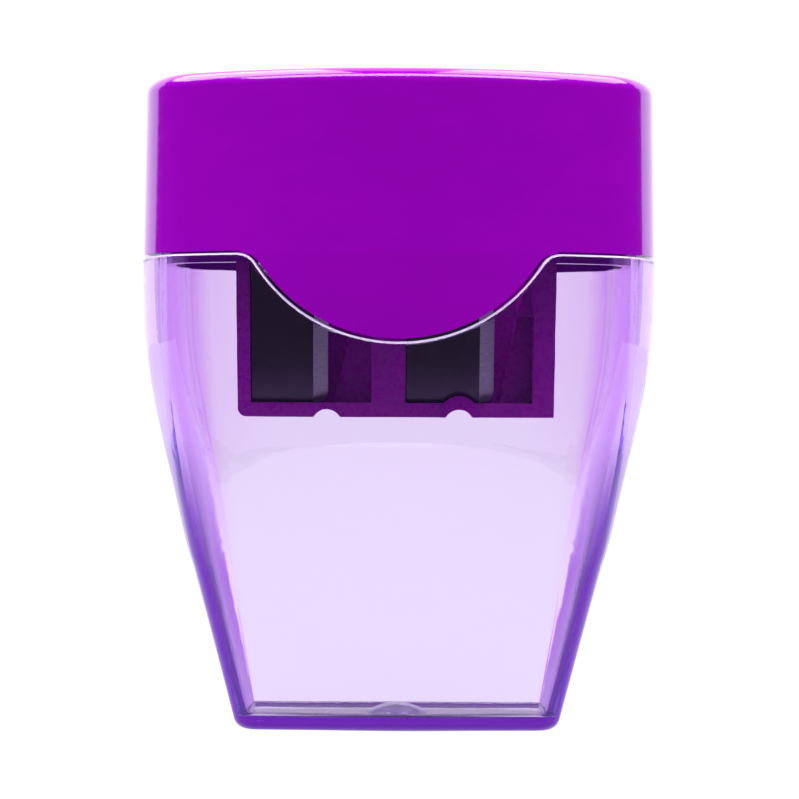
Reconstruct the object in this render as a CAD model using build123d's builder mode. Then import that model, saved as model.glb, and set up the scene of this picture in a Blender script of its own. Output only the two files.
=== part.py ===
"""Two-hole canister pencil sharpener: tapered see-through container, lid with tongues, twin sharpener insert."""
from build123d import *
import math
import os

os.makedirs("parts", exist_ok=True)

# ---- all lengths in millimetres, origin on the table under the middle of the base ----
CUT_OVER = 1.0                   # cuts run this far past the face they open
SLIVER = 0.02                    # smallest step, used where two cuts meet

# ---- overall form ----
SEAM_Z = 40.0                    # container rim, where the lid starts
TOP_Z = 55.0                     # top of the lid
MOUTH_HALF_W = 22.0
MOUTH_HALF_D = 13.5
BASE_HALF_W = 13.72
BASE_HALF_D = 4.9
# plan outline: bowed front, bowed side and corner radii at the mouth and at the base
MOUTH_FRONT_R = 36.0
MOUTH_SIDE_R = 12.0
MOUTH_CORNER_R = 7.0
BASE_FRONT_R = 260.0
BASE_SIDE_R = 40.0
BASE_CORNER_R = 2.0

# outer half width of the container by height: straight taper, soft shoulder, near-upright band
TAPER_TOP_Z = 14.0
STATIONS = (
    (0.0, BASE_HALF_W),
    (TAPER_TOP_Z, 17.6),
    (19.0, 18.9),
    (24.0, 20.08),
    (27.0, 20.78),
    (30.0, 21.35),
    (34.0, 21.8),
    (SEAM_Z, MOUTH_HALF_W),
)

# ---- container ----
WALL = 1.3
FLOOR = 1.3
BASE_EDGE_R = 1.2
FLOOR_EDGE_R = 0.45
RIM_EDGE_R = 0.3                 # soft outer edge along the rim and its scallops
GATE_DOME_R = 2.65
GATE_DOME_H = 0.75
GATE_DOME_ROOT = 0.4             # how far the dome is sunk into the floor
GATE_DIMPLE_R = 2.2
GATE_DIMPLE_H = 0.6

# ---- scallops in the rim, front and back, and the lid tongues that fill them ----
SCALLOP_R = 13.8
SCALLOP_LOW_Z = 32.75
SCALLOP_SHOULDER_R = 1.8
TONGUE_GAP = 0.25

# ---- lid shell ----
SEAM_GAP = 0.15
LID_INSET = 0.1                  # the lid stands this far inside the container outline
LID_DRAFT = 0.25                 # and this much further in at the top
LID_WALL = 1.6
LID_TOP = 1.6
LID_EDGE_R = 1.2
LID_INNER_R = 0.6
PLUG_DROP = 0.7                  # plug ring below the seam
PLUG_TOP_Z = 44.0
PLUG_CLEARANCE = 0.25
PLUG_WALL = 1.1

# ---- twin sharpener ----
CONE_HALF_ANGLE = 11.5
CONE_TIP_Z = 27.0
CONE_TIP_R = 0.45
HOLE_Y = -2.0
STANDARD_X = -5.9
STANDARD_R = 4.0                 # for pencils up to 8 mm
JUMBO_X = 8.0
JUMBO_R = 5.5                    # for pencils up to 11 mm
HOLE_LEAD_IN = 0.5
COLLAR_WALL = 1.1
COLLAR_GAP = 0.06
HOUSING_WALL = 1.4
BLOCK_LEFT = -13.4
BLOCK_RIGHT = 13.0
BLOCK_BOTTOM_Z = 26.6
BLOCK_CORNER_R = 0.7
SLAB_BEHIND = 1.6                # frame plate behind the blade seat
FRAME_PROUD = 1.4                # frame walls in front of the blade seat
SEAT_BOTTOM_Z = 27.8
STANDARD_SEAT = (-12.3, -2.25)
JUMBO_SEAT = (0.6, 11.2)
CHANNEL_BACK_Y = HOLE_Y + 0.3     # back of the shavings channels
CHANNEL_TOP_DROP = 2.0           # the back slopes out to the front over this height
CHANNEL_PROUD = 1.0              # the channel cut reaches this far in front of the seat
CHANNEL_WALL = 1.2               # wall behind and beside the channels
LEDGE_Z = 35.1
FLANGE_T = 1.4
FLANGE_GAP = 0.7                 # clears the fillet under the lid's top
ROOT = 0.2                       # overlap where one feature runs into another
INSERT_GAP = 0.3                 # between the insert's corners and the lid wall
NOTCH_X = (-6.0, 5.1)
NOTCH_R = 1.3
NOTCH_H = 0.65
LIP_R = 1.6
LIP_T = 0.65
LIP_RISE = 0.6
LEDGE_FROM_AXIS = 0.6
LEDGE_T = 0.6
LEDGE_PROUD = 0.2

# ---- blades and screws ----
BLADE_T = 0.65
BLADE_L = 23.6
BLADE_SIDE_GAP = 0.08
BLADE_FOOT_GAP = 0.2
BLADE_CORNER_R = 0.5
BEVEL_W = 1.25
EDGE_LAND = 0.04
EDGE_EASE = 0.7                  # the cutting edge draws back this much at both ends
EASE_RUN = 1.6
SCREW_HOLE_R = 1.35
STANDARD_SCREW_X = -9.9
JUMBO_SCREW_X = 3.5
SCREW_UP_BLADE = 12.6
SHANK_R = 1.05
SHANK_L = 5.0
PILOT_R = 1.05
HEAD_R = 2.1
HEAD_H = 1.1
HEAD_EDGE_R = 0.6
DRIVE_SLOT_W = 0.55
DRIVE_SLOT_H = 0.6
DRIVE_SLOT_TURN = 35.0           # degrees

TAN = math.tan(math.radians(CONE_HALF_ANGLE))
COS = math.cos(math.radians(CONE_HALF_ANGLE))
SIN = math.sin(math.radians(CONE_HALF_ANGLE))
INNER_TOP_Z = TOP_Z - LID_TOP
FLANGE_Z = INNER_TOP_Z - FLANGE_T
STANDARD_CONE_TOP = CONE_TIP_Z + (STANDARD_R - CONE_TIP_R) / TAN
JUMBO_CONE_TOP = min(CONE_TIP_Z + (JUMBO_R - CONE_TIP_R) / TAN, FLANGE_Z)


def half_width(z):
    """Outer half width of the container at a height, by linear steps between the stations."""
    for (z0, w0), (z1, w1) in zip(STATIONS, STATIONS[1:]):
        if z <= z1:
            return w0 + (w1 - w0) * (z - z0) / (z1 - z0)
    return MOUTH_HALF_W


def blend(z):
    """How far the outline at a height has grown from the base (0) to the mouth (1)."""
    return (half_width(z) - BASE_HALF_W) / (MOUTH_HALF_W - BASE_HALF_W)


def outline(z, inset=0.0):
    """Closed outline of eight tangent arcs: the plan form at a height, drawn in by an inset."""
    grow = blend(min(z, SEAM_Z))
    w = half_width(min(z, SEAM_Z)) - inset
    d = BASE_HALF_D + (MOUTH_HALF_D - BASE_HALF_D) * grow - inset
    front_r = 1 / (1 / BASE_FRONT_R + (1 / MOUTH_FRONT_R - 1 / BASE_FRONT_R) * grow) - inset
    side_r = 1 / (1 / BASE_SIDE_R + (1 / MOUTH_SIDE_R - 1 / BASE_SIDE_R) * grow) - inset
    corner_r = BASE_CORNER_R + (MOUTH_CORNER_R - BASE_CORNER_R) * grow - inset
    # corner centre: inside both bowed arcs by the corner radius
    side_x = w - side_r
    front_y = d - front_r
    span = math.hypot(side_x, front_y)
    reach_side = side_r - corner_r
    reach_front = front_r - corner_r
    along = (reach_side ** 2 - reach_front ** 2 + span ** 2) / (2 * span)
    across = math.sqrt(reach_side ** 2 - along ** 2)
    ux = -side_x / span
    uy = front_y / span
    cx = side_x + along * ux - across * uy
    cy = along * uy + across * ux
    if cy < 0:
        cx = side_x + along * ux + across * uy
        cy = along * uy - across * ux
    low = math.degrees(math.atan2(cy, cx - side_x))
    high = math.degrees(math.atan2(cy - front_y, cx))
    with BuildLine() as ring:
        CenterArc((side_x, 0), side_r, -low, 2 * low)
        CenterArc((cx, cy), corner_r, low, high - low)
        CenterArc((0, front_y), front_r, high, 180 - 2 * high)
        CenterArc((-cx, cy), corner_r, 180 - high, high - low)
        CenterArc((-side_x, 0), side_r, 180 - low, 2 * low)
        CenterArc((-cx, -cy), corner_r, 180 + low, high - low)
        CenterArc((0, -front_y), front_r, 180 + high, 180 - 2 * high)
        CenterArc((cx, -cy), corner_r, -high, high - low)
    return ring.line


def form(levels, inset, edge=0, edge_r=0.0, straight=False):
    """Solid through the outlines at these heights; edge -1 rounds the top edge and 0 the bottom edge."""
    with BuildPart() as body:
        for z in levels:
            with BuildSketch(Plane.XY.offset(z)):
                add(outline(z, inset(z)))
                make_face()
        loft(ruled=straight)
        if edge_r > 0:
            fillet(body.edges().group_by(Axis.Z)[edge], edge_r)
    return body.part


def lid_inset(z):
    """How far the lid's outer face stands inside the container outline."""
    return LID_INSET + LID_DRAFT * max(0.0, z - SEAM_Z) / (TOP_Z - SEAM_Z)


def outer_rim(edges):
    """The edges on the container's outer face, from the scallop bottoms up to the seam."""
    rim = []
    for edge in edges:
        box = edge.bounding_box()
        middle = edge @ 0.5
        off_face = outline(middle.Z).distance_to(Vertex(middle.X, middle.Y, 0))
        if box.min.Z > SCALLOP_LOW_Z - 0.1 and off_face < 0.05:
            rim.append(edge)
    return rim


def seat_y(z):
    """Front of the cone wall, where the blades lie."""
    return HOLE_Y - CONE_TIP_R - TAN * (z - CONE_TIP_Z)


def seat_plane(x, z):
    """Plane of the blade seat, facing the front; its Y runs up along the blade."""
    return Plane(origin=(x, seat_y(z), z), x_dir=(1, 0, 0), z_dir=(0, -COS, -SIN))


def scallop(radius, low_z, corner_r):
    """Outline of the rim scallop: a round bite with rounded shoulders, open at the top."""
    centre_z = low_z + radius
    rise = centre_z - SEAM_Z
    corner_x = math.sqrt((radius + corner_r) ** 2 - (rise + corner_r) ** 2)
    k = radius / (radius + corner_r)
    touch = (corner_x * k, centre_z - (rise + corner_r) * k)
    mid_angle = (math.pi / 2 + math.atan2(touch[1] - (SEAM_Z - corner_r), touch[0] - corner_x)) / 2
    mid = (corner_x + corner_r * math.cos(mid_angle), SEAM_Z - corner_r + corner_r * math.sin(mid_angle))
    side = corner_x + SLIVER
    with BuildLine() as bite_line:
        ThreePointArc(touch, (0, low_z), (-touch[0], touch[1]))
        ThreePointArc((-touch[0], touch[1]), (-mid[0], mid[1]), (-corner_x, SEAM_Z))
        Line((-corner_x, SEAM_Z), (-side, SEAM_Z))
        Line((-side, SEAM_Z), (-side, TOP_Z))
        Line((-side, TOP_Z), (side, TOP_Z))
        Line((side, TOP_Z), (side, SEAM_Z))
        Line((side, SEAM_Z), (corner_x, SEAM_Z))
        ThreePointArc((corner_x, SEAM_Z), mid, touch)
    return bite_line.line


SHOULDER_LEVELS = tuple(z for z, _ in STATIONS[1:])

# ---- container ----
with BuildPart() as container:
    add(form((0.0, TAPER_TOP_Z), lambda z: 0.0, 0, BASE_EDGE_R, True))
    add(form(SHOULDER_LEVELS, lambda z: 0.0))
    add(form((FLOOR, TAPER_TOP_Z), lambda z: WALL, 0, FLOOR_EDGE_R, True), mode=Mode.SUBTRACT)
    add(form(SHOULDER_LEVELS + (SEAM_Z + CUT_OVER,), lambda z: WALL), mode=Mode.SUBTRACT)
    with BuildSketch(Plane.XZ):
        add(scallop(SCALLOP_R, SCALLOP_LOW_Z, SCALLOP_SHOULDER_R))
        make_face()
    extrude(amount=2 * MOUTH_HALF_D, both=True, mode=Mode.SUBTRACT)
    fillet(outer_rim(container.edges()), RIM_EDGE_R)
    # gate mark: a low dome on the floor and a shallow dimple under it
    dome_ball = (GATE_DOME_R ** 2 + GATE_DOME_H ** 2) / (2 * GATE_DOME_H)
    dome_centre = FLOOR + GATE_DOME_H - dome_ball
    dome_turn = math.asin(GATE_DOME_R / dome_ball) / 2
    with BuildSketch(Plane.XZ):
        with BuildLine():
            ThreePointArc(
                (GATE_DOME_R, FLOOR),
                (dome_ball * math.sin(dome_turn), dome_centre + dome_ball * math.cos(dome_turn)),
                (0, FLOOR + GATE_DOME_H),
            )
            Line((0, FLOOR + GATE_DOME_H), (0, FLOOR - GATE_DOME_ROOT))
            Line((0, FLOOR - GATE_DOME_ROOT), (GATE_DOME_R, FLOOR - GATE_DOME_ROOT))
            Line((GATE_DOME_R, FLOOR - GATE_DOME_ROOT), (GATE_DOME_R, FLOOR))
        make_face()
    revolve(axis=Axis.Z)
    dimple_ball = (GATE_DIMPLE_R ** 2 + GATE_DIMPLE_H ** 2) / (2 * GATE_DIMPLE_H)
    with Locations((0, 0, GATE_DIMPLE_H - dimple_ball)):
        Sphere(dimple_ball, mode=Mode.SUBTRACT)
container.part.label = "container"

# ---- lid shell ----
# room for the lid: everything above the seam, and the two tongues
with BuildPart() as lid_room:
    with BuildSketch(Plane.XZ):
        add(scallop(SCALLOP_R - TONGUE_GAP, SCALLOP_LOW_Z + TONGUE_GAP, SCALLOP_SHOULDER_R + TONGUE_GAP))
        make_face()
        with Locations((0, SEAM_Z + SEAM_GAP)):
            Rectangle(4 * MOUTH_HALF_W, TOP_Z - SEAM_Z, align=(Align.CENTER, Align.MIN))
    extrude(amount=2 * MOUTH_HALF_D, both=True)

# plug ring that slips inside the container's rim
PLUG_LEVELS = (SEAM_Z - PLUG_DROP, SEAM_Z, PLUG_TOP_Z)
with BuildPart() as plug_ring:
    add(form(PLUG_LEVELS, lambda z: WALL + PLUG_CLEARANCE, straight=True))
    add(form(PLUG_LEVELS, lambda z: WALL + PLUG_CLEARANCE + PLUG_WALL, straight=True), mode=Mode.SUBTRACT)

with BuildPart() as lid_shell:
    add(form(SHOULDER_LEVELS, lid_inset))
    add(form(SHOULDER_LEVELS, lambda z: lid_inset(z) + LID_WALL), mode=Mode.SUBTRACT)
    add(form((SEAM_Z, TOP_Z), lid_inset, -1, LID_EDGE_R, True))
    add(form((SEAM_Z, INNER_TOP_Z), lambda z: lid_inset(z) + LID_WALL, -1, LID_INNER_R, True), mode=Mode.SUBTRACT)
    add(lid_room.part, mode=Mode.INTERSECT)
    add(plug_ring.part)
    for hole_x, hole_r in ((STANDARD_X, STANDARD_R), (JUMBO_X, JUMBO_R)):
        with BuildSketch(Plane.XY.offset(TOP_Z)):
            with Locations((hole_x, HOLE_Y)):
                Circle(hole_r + COLLAR_WALL + COLLAR_GAP)
        extrude(amount=-2 * LID_TOP, mode=Mode.SUBTRACT)
lid_shell.part.label = "lid_shell"


def frame_band(front, behind, z0, z1):
    """Side-view strip parallel to the blade seat, between two heights."""
    with BuildLine() as band:
        Polyline(
            (seat_y(z0) - front / COS, z0),
            (seat_y(z0) + behind / COS, z0),
            (seat_y(z1) + behind / COS, z1),
            (seat_y(z1) - front / COS, z1),
            close=True,
        )
    return band.line


# ---- twin sharpener insert ----
SEATS = (
    (STANDARD_X, STANDARD_R, STANDARD_CONE_TOP, STANDARD_SEAT, STANDARD_SCREW_X),
    (JUMBO_X, JUMBO_R, JUMBO_CONE_TOP, JUMBO_SEAT, JUMBO_SCREW_X),
)
with BuildPart() as sharpener_insert:
    # frame plate, tilted to the cone wall
    with BuildSketch(Plane.YZ.offset(BLOCK_LEFT)):
        add(frame_band(FRAME_PROUD, SLAB_BEHIND, BLOCK_BOTTOM_Z, FLANGE_Z + ROOT))
        make_face()
    extrude(amount=BLOCK_RIGHT - BLOCK_LEFT)
    # rounded bottom corner on the standard side
    corner = sharpener_insert.edges().group_by(Axis.Z)[0].group_by(Axis.X)[0]
    fillet(corner, BLOCK_CORNER_R)
    # flange that seats under the top of the lid
    with BuildSketch(Plane.XY.offset(FLANGE_Z)):
        add(outline(FLANGE_Z, lid_inset(FLANGE_Z) + LID_WALL + FLANGE_GAP))
        make_face()
    extrude(amount=FLANGE_T)
    # corners that would touch the lid wall are taken off
    with BuildSketch(Plane.XY.offset(BLOCK_BOTTOM_Z)):
        add(outline(SEAM_Z, lid_inset(TOP_Z) + LID_WALL + INSERT_GAP))
        make_face()
    extrude(amount=TOP_Z - BLOCK_BOTTOM_Z, mode=Mode.INTERSECT)
    for hole_x, hole_r, cone_top, seat, screw_x in SEATS:
        # housing around the cone and the collar through the lid
        with BuildSketch(Plane.XZ.offset(-HOLE_Y)):
            with BuildLine():
                Polyline(
                    (hole_x, BLOCK_BOTTOM_Z),
                    (hole_x + CONE_TIP_R + HOUSING_WALL, BLOCK_BOTTOM_Z),
                    (hole_x + hole_r + HOUSING_WALL, cone_top),
                    (hole_x + hole_r + HOUSING_WALL, FLANGE_Z + ROOT),
                    (hole_x + hole_r + COLLAR_WALL, FLANGE_Z + ROOT),
                    (hole_x + hole_r + COLLAR_WALL, TOP_Z),
                    (hole_x, TOP_Z),
                    close=True,
                )
            make_face()
        revolve(axis=Axis((hole_x, HOLE_Y, 0), (0, 0, 1)))
        # wall behind the shavings channel
        with BuildSketch(Plane.XY.offset(BLOCK_BOTTOM_Z)):
            with Locations(((hole_x + seat[1] + CHANNEL_WALL) / 2, CHANNEL_BACK_Y)):
                Rectangle(seat[1] + CHANNEL_WALL - hole_x, 2 * CHANNEL_WALL)
        extrude(amount=cone_top - BLOCK_BOTTOM_Z)
    for hole_x, hole_r, cone_top, seat, screw_x in SEATS:
        # room in front of the blade seat, down to the bottom lip
        with BuildSketch(Plane.YZ.offset(seat[0])):
            add(frame_band(FRAME_PROUD + CUT_OVER, 0, SEAT_BOTTOM_Z, FLANGE_Z))
            make_face()
        extrude(amount=seat[1] - seat[0], mode=Mode.SUBTRACT)
        # pencil bore: straight, then the cone, then the tip hole
        with BuildSketch(Plane.XZ.offset(-HOLE_Y)):
            with BuildLine():
                Polyline(
                    (hole_x, BLOCK_BOTTOM_Z - CUT_OVER),
                    (hole_x + CONE_TIP_R, BLOCK_BOTTOM_Z - CUT_OVER),
                    (hole_x + CONE_TIP_R, CONE_TIP_Z),
                    (hole_x + hole_r, cone_top),
                    (hole_x + hole_r, TOP_Z - HOLE_LEAD_IN),
                    (hole_x + hole_r + HOLE_LEAD_IN, TOP_Z),
                    (hole_x + hole_r + HOLE_LEAD_IN, TOP_Z + CUT_OVER),
                    (hole_x, TOP_Z + CUT_OVER),
                    close=True,
                )
            make_face()
        revolve(axis=Axis((hole_x, HOLE_Y, 0), (0, 0, 1)), mode=Mode.SUBTRACT)
        # shavings channel, to the right of the cutting edge
        with BuildSketch(Plane.YZ.offset(hole_x)):
            with BuildLine():
                Polyline(
                    (CHANNEL_BACK_Y, SEAT_BOTTOM_Z),
                    (CHANNEL_BACK_Y, cone_top - CHANNEL_TOP_DROP),
                    (seat_y(cone_top) - CHANNEL_PROUD, cone_top),
                    (seat_y(SEAT_BOTTOM_Z) - CHANNEL_PROUD, SEAT_BOTTOM_Z),
                    close=True,
                )
            make_face()
        extrude(amount=seat[1] - hole_x, mode=Mode.SUBTRACT)
        # pilot hole for the blade screw
        with BuildSketch(seat_plane(screw_x, SEAT_BOTTOM_Z + BLADE_FOOT_GAP)):
            with Locations((0, SCREW_UP_BLADE)):
                Circle(PILOT_R)
        extrude(amount=-SHANK_L, mode=Mode.SUBTRACT)
    # ledge across the jumbo channel
    with BuildSketch(Plane.YZ.offset(JUMBO_X + LEDGE_FROM_AXIS)):
        with BuildLine():
            Polyline(
                (seat_y(LEDGE_Z) - LEDGE_PROUD, LEDGE_Z),
                (CHANNEL_BACK_Y, LEDGE_Z),
                (CHANNEL_BACK_Y, LEDGE_Z + LEDGE_T),
                (seat_y(LEDGE_Z) - LEDGE_PROUD, LEDGE_Z + LEDGE_T),
                close=True,
            )
        make_face()
    extrude(amount=JUMBO_SEAT[1] - JUMBO_X - LEDGE_FROM_AXIS + ROOT)
    # lip that follows the right-hand notch in front of the jumbo blade
    lip_back = seat_y(SEAT_BOTTOM_Z) - (BLADE_T + BLADE_SIDE_GAP) / COS - TAN
    with BuildSketch(Plane.XZ.offset(-lip_back)):
        with Locations((NOTCH_X[1], SEAT_BOTTOM_Z + LIP_RISE - LIP_R)):
            Circle(LIP_R)
        with Locations((NOTCH_X[1], BLOCK_BOTTOM_Z - LIP_R)):
            Rectangle(2 * LIP_R, 2 * LIP_R, mode=Mode.SUBTRACT)
    extrude(amount=LIP_T)
    # relief notches in the bottom edge
    for notch_x in NOTCH_X:
        with BuildSketch(Plane.XZ.offset(-HOLE_Y)):
            with Locations((notch_x, BLOCK_BOTTOM_Z + NOTCH_H - NOTCH_R)):
                Circle(NOTCH_R)
        extrude(amount=4 * NOTCH_R, both=True, mode=Mode.SUBTRACT)
sharpener_insert.part.label = "sharpener_insert"


def blade_outline(width, length, corner_r):
    """Face of a blade: square back edge, cutting edge on the right that eases in at both ends."""
    with BuildLine() as rim:
        Polyline((-width, corner_r), (-width, length - corner_r))
        ThreePointArc(
            (-width, length - corner_r),
            (-width + corner_r * (1 - math.sqrt(0.5)), length - corner_r * (1 - math.sqrt(0.5))),
            (-width + corner_r, length),
        )
        Line((-width + corner_r, length), (-EDGE_EASE, length))
        Spline((-EDGE_EASE, length), (0, length - EASE_RUN), tangents=((1, 0), (0, -1)))
        Line((0, length - EASE_RUN), (0, EASE_RUN))
        Spline((0, EASE_RUN), (-EDGE_EASE, 0), tangents=((0, -1), (-1, 0)))
        Line((-EDGE_EASE, 0), (-width + corner_r, 0))
        ThreePointArc(
            (-width + corner_r, 0),
            (-width + corner_r * (1 - math.sqrt(0.5)), corner_r * (1 - math.sqrt(0.5))),
            (-width, corner_r),
        )
    return rim.line


# ---- blades ----
blades = {}
for blade_name, hole_x, seat, screw_x in (
    ("standard_blade", STANDARD_X, STANDARD_SEAT, STANDARD_SCREW_X),
    ("jumbo_blade", JUMBO_X, JUMBO_SEAT, JUMBO_SCREW_X),
):
    width = hole_x - seat[0] - BLADE_SIDE_GAP
    lay = seat_plane(hole_x, SEAT_BOTTOM_Z + BLADE_FOOT_GAP)
    with BuildPart() as blade:
        with BuildSketch(lay):
            add(blade_outline(width, BLADE_L, BLADE_CORNER_R))
            make_face()
            with Locations((screw_x - hole_x, SCREW_UP_BLADE)):
                Circle(SCREW_HOLE_R, mode=Mode.SUBTRACT)
        extrude(amount=BLADE_T)
        # bevel ground on the outer face of the cutting edge
        with BuildSketch(Plane(origin=lay.origin, x_dir=lay.x_dir, z_dir=lay.y_dir)):
            with BuildLine():
                Polyline(
                    (SLIVER, -EDGE_LAND),
                    (SLIVER, -BLADE_T - SLIVER),
                    (-BEVEL_W, -BLADE_T - SLIVER),
                    close=True,
                )
            make_face()
        extrude(amount=BLADE_L, mode=Mode.SUBTRACT)
    blade.part.label = blade_name
    blades[blade_name] = blade

# ---- blade screws ----
screws = {}
for screw_name, screw_x in (
    ("standard_blade_screw", STANDARD_SCREW_X),
    ("jumbo_blade_screw", JUMBO_SCREW_X),
):
    foot = seat_plane(screw_x, SEAT_BOTTOM_Z + BLADE_FOOT_GAP)
    centre = foot.from_local_coords(Vector(0, SCREW_UP_BLADE, BLADE_T))
    lay = Plane(origin=centre, x_dir=foot.x_dir, z_dir=foot.z_dir)
    with BuildPart() as screw:
        with BuildSketch(lay):
            Circle(HEAD_R)
        extrude(amount=HEAD_H)
        fillet(screw.edges().group_by(Axis(lay.origin, lay.z_dir))[-1], HEAD_EDGE_R)
        with BuildSketch(lay):
            Circle(SHANK_R)
        extrude(amount=-SHANK_L)
        with BuildSketch(lay.offset(HEAD_H)):
            Rectangle(2 * HEAD_R + CUT_OVER, DRIVE_SLOT_W, rotation=DRIVE_SLOT_TURN)
        extrude(amount=-DRIVE_SLOT_H, mode=Mode.SUBTRACT)
    screw.part.label = screw_name
    screws[screw_name] = screw

for piece in (container, lid_shell, sharpener_insert, *blades.values(), *screws.values()):
    export_step(piece.part, "parts/" + piece.part.label + ".step")
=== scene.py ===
"""Looks for a two-hole pencil sharpener: violet lid, see-through lavender container, steel blades."""
import math

import bpy
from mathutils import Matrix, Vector

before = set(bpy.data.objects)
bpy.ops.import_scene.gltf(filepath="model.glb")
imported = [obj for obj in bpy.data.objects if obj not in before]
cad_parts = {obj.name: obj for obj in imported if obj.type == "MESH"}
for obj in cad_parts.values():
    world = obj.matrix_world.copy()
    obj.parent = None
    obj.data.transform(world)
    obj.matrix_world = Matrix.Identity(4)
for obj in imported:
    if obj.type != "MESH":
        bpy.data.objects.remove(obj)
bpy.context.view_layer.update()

# ---- colours, linear ----
WHITE_TINT = (1.0, 1.0, 1.0, 1.0)
PLASTIC_IOR = 1.52

VIOLET = (0.30, 0.0, 0.475, 1.0)
VIOLET_DEEP = (0.285, 0.0, 0.455, 1.0)
LID_ROUGHNESS = 0.05
LID_SPECULAR = 0.5
INSERT_VIOLET = (0.45, 0.0, 0.50, 1.0)
INSERT_VIOLET_DEEP = (0.36, 0.0, 0.46, 1.0)
INSERT_ROUGHNESS = 0.25
INSERT_SPECULAR = 0.3

LAVENDER_ABSORB = (0.46, 0.0, 0.95, 1.0)
LAVENDER_DENSITY = 145.0             # per metre of plastic
# painted shade: the container's faces are tinted deeper violet by how far they turn sideways, standing in for
# the darker look of the wall seen edge-on: 0 is the front or back, 1 is a side
SHOULDER_SHADE_TINT = (
    (0.25, WHITE_TINT),
    (0.45, (0.97, 0.90, 0.99, 1.0)),
    (0.72, (0.78, 0.45, 0.94, 1.0)),
    (0.88, (0.90, 0.75, 0.98, 1.0)),
)
FOOT_SHADE_TINT = (
    (0.3, WHITE_TINT),
    (0.82, (0.97, 0.88, 0.99, 1.0)),
    (0.92, (0.36, 0.0, 0.72, 1.0)),
    (0.98, (0.28, 0.0, 0.62, 1.0)),
)
FOOT_SHADE_Z = (0.013, 0.027)              # the foot's painted shade fades into the shoulder's over these heights
# painted shade: dark violet for the lowest band of the container
BASE_SHADE_TINT = (0.16, 0.0, 0.34, 1.0)
SHADED_BAND_Z = (0.0012, 0.0014)            # the lowest band of painted shade, seen from the front as a dark strip, ends here
# painted shade: a near-solid deep violet coat standing in for the dark edges of the lowest band and of the
# foot's outer side faces
SHADE_COAT_VIOLET = (0.155, 0.0, 0.52, 1.0)
SHADE_COAT_ROUGHNESS = 0.08
SHADE_COAT_SPECULAR = 0.2
SHADE_COAT_BASE = 0.75                    # share of near-solid violet painted shade in the lowest band
SHADE_COAT_SIDES = 0.9                    # and on the outer side faces of the foot
SHADE_COAT_TURN = (0.62, 0.76)            # how far a face turns sideways before it counts as a side face
SHADE_COAT_Z = (0.014, 0.025)             # it fades out over these heights
# painted highlight: a pale rough coat on the rim's upward faces, standing in for light refracted through the
# rounded rim edge
RIM_GLINT_PALE = (0.80, 0.66, 0.95, 1.0)
RIM_ROUGHNESS = 0.35
RIM_GLINT_SHARE = 0.5
RIM_GLINT_FACING = (0.3, 0.6)              # upward part of the normal
RIM_GLINT_Z = (0.0325, 0.0326)             # just under the bottom of the scallops

# painted shade: the blade colours are darker than bare steel, standing in for the dark room the blades
# reflect; they are also tinted violet
BLADE_FACE_SHADED = ((0.20, 0.15, 0.27, 1.0), (0.27, 0.20, 0.36, 1.0))
BLADE_BEVEL_SHADED = ((0.30, 0.26, 0.36, 1.0), (0.46, 0.40, 0.54, 1.0))
BEVEL_TURN = (0.2, 0.35)             # the bevel is the face that turns this far towards +X
SCREW_GREY = ((0.5, 0.5, 0.5, 1.0), (0.64, 0.64, 0.64, 1.0))


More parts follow.
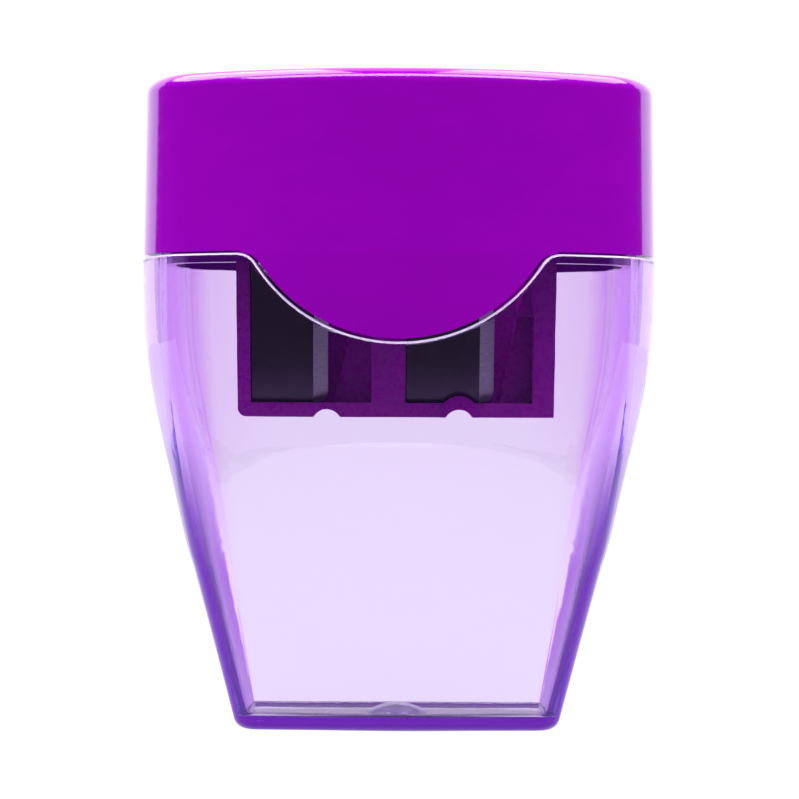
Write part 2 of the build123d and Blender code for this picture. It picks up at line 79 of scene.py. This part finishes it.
class Nodes:
    """A node tree, with short calls to add and join nodes."""

    def __init__(self, tree):
        self.tree = tree
        self.tree.nodes.clear()

    def add(self, kind, **settings):
        node = self.tree.nodes.new(kind)
        for key, value in settings.items():
            setattr(node, key, value)
        return node

    def put(self, socket, value):
        """Join an output to a socket, or set the socket to a value."""
        if isinstance(value, bpy.types.NodeSocket):
            self.tree.links.new(value, socket)
        else:
            socket.default_value = value

    def with_inputs(self, kind, **values):
        """Node whose inputs are named in the call, with _ for a space."""
        node = self.add(kind)
        for key, value in values.items():
            self.put(node.inputs[key.replace("_", " ")], value)
        return node

    def coords(self, stretch=(1, 1, 1)):
        """Object coordinates, stretched along the axes."""
        place = self.add("ShaderNodeTexCoord")
        mapping = self.with_inputs("ShaderNodeMapping", Vector=place.outputs["Object"], Scale=stretch)
        return mapping.outputs["Vector"]

    def axes(self, kind):
        """X, Y and Z of the point ("Object") or of the face's normal ("Normal"), in its own frame."""
        place = self.add("ShaderNodeTexCoord")
        return self.with_inputs("ShaderNodeSeparateXYZ", Vector=place.outputs[kind]).outputs

    def noise(self, scale, detail=3.0, roughness=0.5, stretch=(1, 1, 1)):
        node = self.with_inputs(
            "ShaderNodeTexNoise",
            Vector=self.coords(stretch),
            Scale=scale,
            Detail=detail,
            Roughness=roughness,
        )
        return node.outputs["Fac"]

    def ramp(self, value, stops):
        node = self.with_inputs("ShaderNodeValToRGB", Fac=value)
        elements = node.color_ramp.elements
        while len(elements) < len(stops):
            elements.new(0.5)
        for element, (position, colour) in zip(elements, stops):
            element.position = position
            element.color = colour
        return node.outputs["Color"]

    def span(self, value, low, high, out_low, out_high):
        """Value carried over from one range to another, held at both ends."""
        node = self.add("ShaderNodeMapRange")
        for key, number in (
            ("Value", value),
            ("From Min", low),
            ("From Max", high),
            ("To Min", out_low),
            ("To Max", out_high),
        ):
            self.put(node.inputs[key], number)
        return node.outputs["Result"]

    def bump(self, height, strength, distance):
        node = self.with_inputs("ShaderNodeBump", Height=height, Strength=strength, Distance=distance)
        return node.outputs["Normal"]

    def math(self, operation, *values):
        node = self.add("ShaderNodeMath", operation=operation)
        for socket, value in zip(node.inputs, values):
            self.put(socket, value)
        return node.outputs[0]

    def mix_colours(self, factor, a, b):
        node = self.add("ShaderNodeMix", data_type="RGBA")
        for index, value in ((0, factor), (6, a), (7, b)):
            self.put(node.inputs[index], value)
        return node.outputs[2]

    def mix_numbers(self, factor, a, b):
        node = self.add("ShaderNodeMix", data_type="FLOAT")
        for index, value in ((0, factor), (2, a), (3, b)):
            self.put(node.inputs[index], value)
        return node.outputs[0]

    def mix_shaders(self, factor, a, b):
        node = self.add("ShaderNodeMixShader")
        for socket, value in zip(node.inputs, (factor, a, b)):
            self.put(socket, value)
        return node.outputs[0]


class Material(Nodes):
    """A new material, and the nodes that make it."""

    def __init__(self, name):
        self.material = bpy.data.materials.new(name)
        self.material.use_nodes = True
        super().__init__(self.material.node_tree)
        self.output = self.add("ShaderNodeOutputMaterial")

    def finish(self, surface, volume=None):
        self.put(self.output.inputs["Surface"], surface)
        if volume is not None:
            self.put(self.output.inputs["Volume"], volume)
        return self.material


def violet_plastic(name, colour, deep, roughness, specular):
    """Glossy injection-moulded plastic: slight flow marks in the colour, a faint grain and fine scuffs."""
    m = Material(name)
    flow = m.noise(160.0, 4.0, 0.6, (1, 1, 2.5))
    scuff = m.noise(2600.0, 5.0, 0.65)
    fine = m.noise(5200.0, 2.0)
    plastic = m.with_inputs(
        "ShaderNodeBsdfPrincipled",
        IOR=PLASTIC_IOR,
        Specular_IOR_Level=specular,
        Base_Color=m.ramp(flow, ((0.35, deep), (0.65, colour))),
        Roughness=m.span(scuff, 0.35, 0.75, roughness, roughness + 0.1),
        Normal=m.bump(fine, 0.04, 0.000004),
    )
    return m.finish(plastic.outputs["BSDF"])


def painted_wall_shade(m, point, normal):
    """Painted shade on the faces: deeper violet by how far the wall turns sideways, deeper still in the foot
    and in the lowest band.
    """
    turn = m.math("ABSOLUTE", normal["X"])
    upper = m.ramp(turn, SHOULDER_SHADE_TINT)
    lower = m.ramp(turn, FOOT_SHADE_TINT)
    walls = m.mix_colours(m.span(point["Z"], *FOOT_SHADE_Z, 1.0, 0.0), upper, lower)
    return m.mix_colours(m.span(point["Z"], *SHADED_BAND_Z, 1.0, 0.0), walls, BASE_SHADE_TINT)


def painted_shade_share(m, point, normal):
    """Share of near-solid violet painted shade: in the lowest band, and on the foot's outer side faces."""
    outward = m.math("MULTIPLY", m.math("SIGN", point["X"]), normal["X"])
    sides = m.math(
        "MULTIPLY",
        m.span(outward, *SHADE_COAT_TURN, 0.0, SHADE_COAT_SIDES),
        m.span(point["Z"], *SHADE_COAT_Z, 1.0, 0.0),
    )
    return m.math("MAXIMUM", sides, m.span(point["Z"], *SHADED_BAND_Z, SHADE_COAT_BASE, 0.0))


def lavender_plastic(name):
    """See-through tinted plastic with a faint ripple, a painted highlight on the rim, painted shade on the
    faces that turn sideways and near-solid violet painted shade low on the sides.
    """
    m = Material(name)
    point = m.axes("Object")
    normal = m.axes("Normal")
    haze = m.noise(1400.0, 4.0, 0.6)
    ripple = m.noise(120.0, 2.0, 0.4, (1, 1, 0.6))
    clear = m.with_inputs(
        "ShaderNodeBsdfPrincipled",
        IOR=PLASTIC_IOR,
        Transmission_Weight=1.0,
        Base_Color=painted_wall_shade(m, point, normal),
        Roughness=m.span(haze, 0.4, 0.8, 0.0, 0.035),
        Normal=m.bump(ripple, 0.03, 0.00002),
    )
    # painted highlight on the rim's upward faces
    rim_glint = m.with_inputs("ShaderNodeBsdfPrincipled", Base_Color=RIM_GLINT_PALE, Roughness=RIM_ROUGHNESS)
    rim_glint_share = m.math(
        "MULTIPLY",
        m.span(point["Z"], *RIM_GLINT_Z, 0.0, 1.0),
        m.span(normal["Z"], *RIM_GLINT_FACING, 0.0, RIM_GLINT_SHARE),
    )
    rimmed = m.mix_shaders(rim_glint_share, clear.outputs["BSDF"], rim_glint.outputs["BSDF"])
    # near-solid violet painted shade, low on the sides and in the lowest band
    shade_coat = m.with_inputs(
        "ShaderNodeBsdfPrincipled",
        Base_Color=SHADE_COAT_VIOLET,
        Roughness=SHADE_COAT_ROUGHNESS,
        Specular_IOR_Level=SHADE_COAT_SPECULAR,
    )
    whole = m.mix_shaders(painted_shade_share(m, point, normal), rimmed, shade_coat.outputs["BSDF"])
    tint = m.with_inputs("ShaderNodeVolumeAbsorption", Color=LAVENDER_ABSORB, Density=LAVENDER_DENSITY)
    return m.finish(whole, tint.outputs["Volume"])


def blade_steel(name):
    """Blade strip: rolled face with long fine lines, and a brighter bevel with lines across it, both coloured
    with painted shade darker than bare steel.
    """
    m = Material(name)
    bevel = m.span(m.axes("Normal")["X"], *BEVEL_TURN, 0.0, 1.0)
    rolled = m.noise(1500.0, 4.0, 0.6, (5, 5, 0.3))
    ground = m.noise(1500.0, 3.0, 0.6, (1.2, 1.2, 6))
    face = m.ramp(rolled, ((0.3, BLADE_FACE_SHADED[0]), (0.7, BLADE_FACE_SHADED[1])))
    edge = m.ramp(ground, ((0.3, BLADE_BEVEL_SHADED[0]), (0.7, BLADE_BEVEL_SHADED[1])))
    steel = m.with_inputs(
        "ShaderNodeBsdfPrincipled",
        Metallic=1.0,
        Base_Color=m.mix_colours(bevel, face, edge),
        Roughness=m.span(bevel, 0.0, 1.0, 0.2, 0.42),
        Normal=m.bump(m.mix_numbers(bevel, rolled, ground), 0.2, 0.00001),
    )
    return m.finish(steel.outputs["BSDF"])


def screw_steel(name):
    """Plain steel with a fine speckle."""
    m = Material(name)
    speckle = m.noise(3000.0, 4.0, 0.6)
    steel = m.with_inputs(
        "ShaderNodeBsdfPrincipled",
        Metallic=1.0,
        Base_Color=m.ramp(speckle, ((0.3, SCREW_GREY[0]), (0.7, SCREW_GREY[1]))),
        Roughness=m.span(speckle, 0.3, 0.7, 0.22, 0.36),
        Normal=m.bump(speckle, 0.1, 0.00001),
    )
    return m.finish(steel.outputs["BSDF"])


def dress(node, material):
    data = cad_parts[node].data
    data.materials.clear()
    data.materials.append(material)


dress("container", lavender_plastic("container_plastic"))
dress("lid_shell", violet_plastic("lid_plastic", VIOLET, VIOLET_DEEP, LID_ROUGHNESS, LID_SPECULAR))
dress(
    "sharpener_insert",
    violet_plastic("insert_plastic", INSERT_VIOLET, INSERT_VIOLET_DEEP, INSERT_ROUGHNESS, INSERT_SPECULAR),
)
blade_material = blade_steel("blade_steel")
screw_material = screw_steel("screw_steel")
for size in ("standard", "jumbo"):
    dress(size + "_blade", blade_material)
    dress(size + "_blade_screw", screw_material)

# ---- floor: a white sheet that ends a little way in front of the object ----
FLOOR_EDGES = ((-0.6, -0.055), (0.6, 0.9))
FLOOR_ALBEDO = 0.02
FLOOR_GLOW = 1.02
FLOOR_ROUGHNESS = 0.7
PAINTED_SHADOW_PATCH = (0.0128, 0.0042)        # half width and half depth of the painted shadow patch under the base, where the floor does not glow
PAINTED_SHADOW_FADE = (0.9, 1.1)              # the glow comes up between these fractions of it


def floor_white(name):
    """White sheet that glows evenly, except on a painted shadow patch under the base, where it does not glow
    and stays nearly black.
    """
    m = Material(name)
    across = m.add("ShaderNodeVectorMath", operation="LENGTH")
    m.put(across.inputs[0], m.coords((1 / PAINTED_SHADOW_PATCH[0], 1 / PAINTED_SHADOW_PATCH[1], 0)))
    sheet = m.with_inputs(
        "ShaderNodeBsdfPrincipled",
        Roughness=FLOOR_ROUGHNESS,
        Specular_IOR_Level=0.0,
        Base_Color=(FLOOR_ALBEDO, FLOOR_ALBEDO, FLOOR_ALBEDO, 1.0),
        Emission_Color=WHITE_TINT,
        Emission_Strength=m.span(across.outputs["Value"], *PAINTED_SHADOW_FADE, 0.0, FLOOR_GLOW),
    )
    return m.finish(sheet.outputs["BSDF"])


def studio_floor():
    (x0, y0), (x1, y1) = FLOOR_EDGES
    mesh = bpy.data.meshes.new("studio_floor")
    mesh.from_pydata([(x0, y0, 0), (x1, y0, 0), (x1, y1, 0), (x0, y1, 0)], [], [(0, 1, 2, 3)])
    mesh.materials.append(floor_white("floor_white"))
    floor = bpy.data.objects.new("studio_floor", mesh)
    bpy.context.scene.collection.objects.link(floor)


studio_floor()

# ---- studio: not one plain surrounding, it answers each ray by what the ray has met ----
WHITE = 1.10                         # all round, for a ray that nothing has reflected
BACKDROP_GLOSS = 1.4                 # the backdrop behind the object, for a ray that was reflected
BACKDROP_HALF_ANGLE = 53.0           # degrees either side of +Y
THROUGH_HALF_ANGLE = 105.0           # the same, once the ray has also gone through plastic; it is WHITE there
BACKDROP_SOFT = 0.01                 # radians each way over which the backdrop's edge fades
ROOM_LIGHT = 0.03                    # the rest of the room


def studio_world():
    """White all round, or for reflected rays a white backdrop in a dark room."""
    world = bpy.data.worlds.new("studio")
    bpy.context.scene.world = world
    world.use_nodes = True
    w = Nodes(world.node_tree)

    def light(strength):
        return w.with_inputs("ShaderNodeBackground", Color=WHITE_TINT, Strength=strength).outputs[0]

    place = w.add("ShaderNodeTexCoord")
    way = w.with_inputs("ShaderNodeSeparateXYZ", Vector=place.outputs["Generated"]).outputs
    path = w.add("ShaderNodeLightPath").outputs
    azimuth = w.math("ARCTAN2", w.math("ABSOLUTE", way["X"]), way["Y"])
    through = w.math("GREATER_THAN", path["Transmission Depth"], 0.5)
    wider = w.math("MULTIPLY", through, math.radians(THROUGH_HALF_ANGLE - BACKDROP_HALF_ANGLE))
    half_angle = w.math("ADD", math.radians(BACKDROP_HALF_ANGLE), wider)
    edge = w.add("ShaderNodeMapRange", interpolation_type="SMOOTHSTEP")
    for key, value in (
        ("Value", azimuth),
        ("From Min", w.math("SUBTRACT", half_angle, BACKDROP_SOFT)),
        ("From Max", w.math("ADD", half_angle, BACKDROP_SOFT)),
        ("To Min", 1.0),
        ("To Max", 0.0),
    ):
        w.put(edge.inputs[key], value)
    backdrop = w.mix_shaders(through, light(BACKDROP_GLOSS), light(WHITE))
    room = w.mix_shaders(edge.outputs["Result"], light(ROOM_LIGHT), backdrop)
    direct = w.math("LESS_THAN", w.math("ADD", path["Glossy Depth"], path["Diffuse Depth"]), 0.5)
    out = w.add("ShaderNodeOutputWorld")
    w.put(out.inputs["Surface"], w.mix_shaders(direct, room, light(WHITE)))


studio_world()

# ---- softboxes: name, place, the point it faces, width, depth, radiance ----
SOFTBOXES = (
    ("softbox_left", (-0.42, 0.10, 0.62), (-0.42, 0.10, 0.0), 0.66, 0.56, 8.0),
    ("softbox_right", (0.40, 0.10, 0.62), (0.40, 0.10, 0.0), 0.66, 0.56, 6.8),
    ("softbox_front", (0.0, -0.45, 0.70), (0.0, 0.0, 0.03), 1.2, 0.25, 9.8),
)
for name, location, target, width, depth, radiance in SOFTBOXES:
    light = bpy.data.lights.new(name, "AREA")
    light.shape = "RECTANGLE"
    light.size = width
    light.size_y = depth
    light.energy = radiance * math.pi * width * depth
    lamp = bpy.data.objects.new(name, light)
    lamp.location = location
    lamp.rotation_euler = (Vector(target) - Vector(location)).to_track_quat("-Z", "Y").to_euler()
    bpy.context.scene.collection.objects.link(lamp)

# ---- camera: level with the object's middle, close enough to see its depth ----
CAMERA_LENS = 112.6                  # mm on a 36 mm sensor
CAMERA_SENSOR = 36.0
CAMERA_CLIP = (0.005, 20.0)
CAMERA_PLACE = (0.0001, -0.215, 0.0298)
CAMERA_PITCH = -0.49                 # degrees
CAMERA_ROLL = -0.27                  # degrees

camera_data = bpy.data.cameras.new("camera")
camera_data.lens = CAMERA_LENS
camera_data.sensor_width = CAMERA_SENSOR
camera_data.clip_start, camera_data.clip_end = CAMERA_CLIP
camera = bpy.data.objects.new("camera", camera_data)
camera.location = CAMERA_PLACE
camera.rotation_euler = (math.radians(90.0 + CAMERA_PITCH), math.radians(CAMERA_ROLL), 0.0)
bpy.context.scene.collection.objects.link(camera)
bpy.context.scene.camera = camera

bpy.context.scene.view_settings.view_transform = "Standard"
# light is reflected many times inside the container's walls
MAX_BOUNCES = 40
SURFACE_BOUNCES = 32
bpy.context.scene.cycles.max_bounces = MAX_BOUNCES
bpy.context.scene.cycles.glossy_bounces = SURFACE_BOUNCES
bpy.context.scene.cycles.transmission_bounces = SURFACE_BOUNCES
